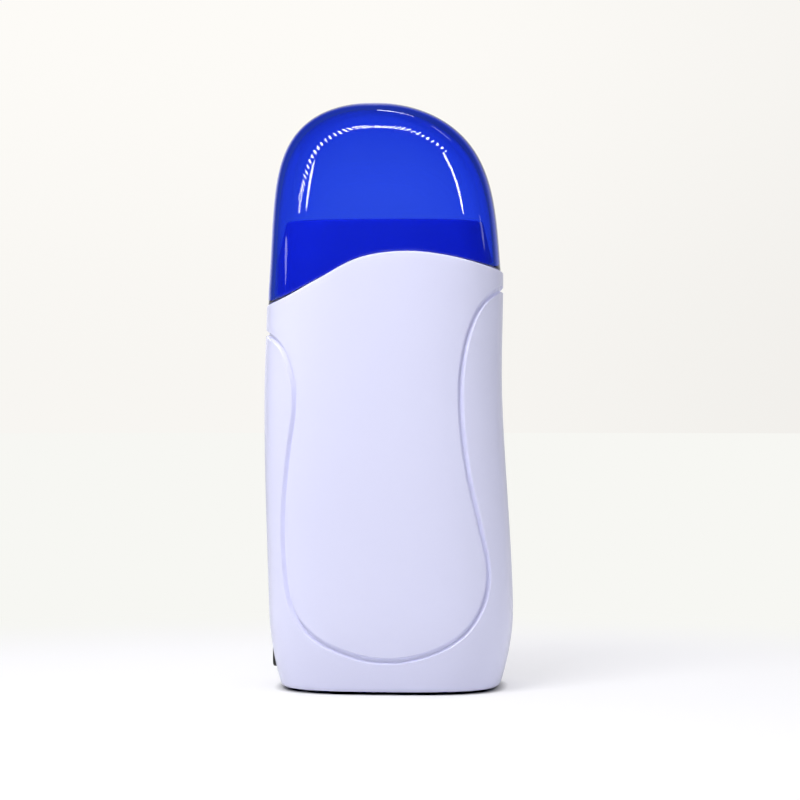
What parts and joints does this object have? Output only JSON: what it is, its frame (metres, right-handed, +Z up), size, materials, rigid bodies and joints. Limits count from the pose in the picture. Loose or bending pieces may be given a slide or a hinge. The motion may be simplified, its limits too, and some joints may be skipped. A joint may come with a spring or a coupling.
{
  "type": "roll-on wax heater",
  "caption": "Hand-held heater with a waisted moulded body, a well for a roll-on wax cartridge, a level window, a mains inlet and a translucent domed lid that lifts off.",
  "frame": {"origin": "on the table, at the middle of the body's box", "axes": "+Z up along the body to the top of the lid; +Y from the plain, grooved face that the picture shows to the face with the window; +X to the right as that plain face is seen, with the power inlet on the -X flank"},
  "size_m": [0.0802, 0.06, 0.1894],
  "materials": {
    "lid_blue": "glossy translucent blue",
    "shell_white": "satin moulded white with a lavender tint",
    "inner_white": "satin moulded white",
    "silicone": "matte silicone",
    "well_aluminium": "drawn, satin",
    "heat_resistant_plastic": "moulded, matte",
    "element_case": "extruded",
    "insulating_sheet": "mica and film",
    "spring_steel": "spring steel",
    "black_plastic": "moulded, satin",
    "fuse_ceramic": "sleeved",
    "brown_insulation": "silicone insulation",
    "blue_insulation": "silicone insulation",
    "red_insulation": "silicone insulation",
    "circuit_board": "solder mask",
    "led_resin": "clear red resin",
    "lens_red": "polished red",
    "window_clear": "polished clear",
    "contact_metal": "nickel plated",
    "screw_steel": "zinc plated",
    "foot_rubber": "matte"
  },
  "bodies": {
    "heater": {"front_shell": "shell_white", "rear_shell": "shell_white", "neck_collar": "inner_white", "well_gasket": "silicone", "heating_well": "well_aluminium", "well_cradle": "heat_resistant_plastic", "ptc_heater": "element_case", "heater_insulator": "insulating_sheet", "heater_clip": "spring_steel", "thermostat": "black_plastic", "thermostat_clip": "spring_steel", "thermal_fuse": "fuse_ceramic", "live_lead": "brown_insulation", "neutral_lead": "blue_insulation", "link_leads": "red_insulation", "indicator_board": "circuit_board", "indicator_led": "led_resin", "board_leads": "red_insulation", "light_lens": "lens_red", "level_window": "window_clear", "power_inlet": "black_plastic", "inlet_pins": "contact_metal", "base_plate": "inner_white", "base_screws": "screw_steel", "foot_pads": "foot_rubber"},
    "lid": {"lid": "lid_blue"}
  },
  "joints": [
    {"name": "lid_lift", "type": "slide", "parent": "heater", "child": "lid", "axis": [0, 0, 1], "range_m": [0, 0.06]}
  ]
}
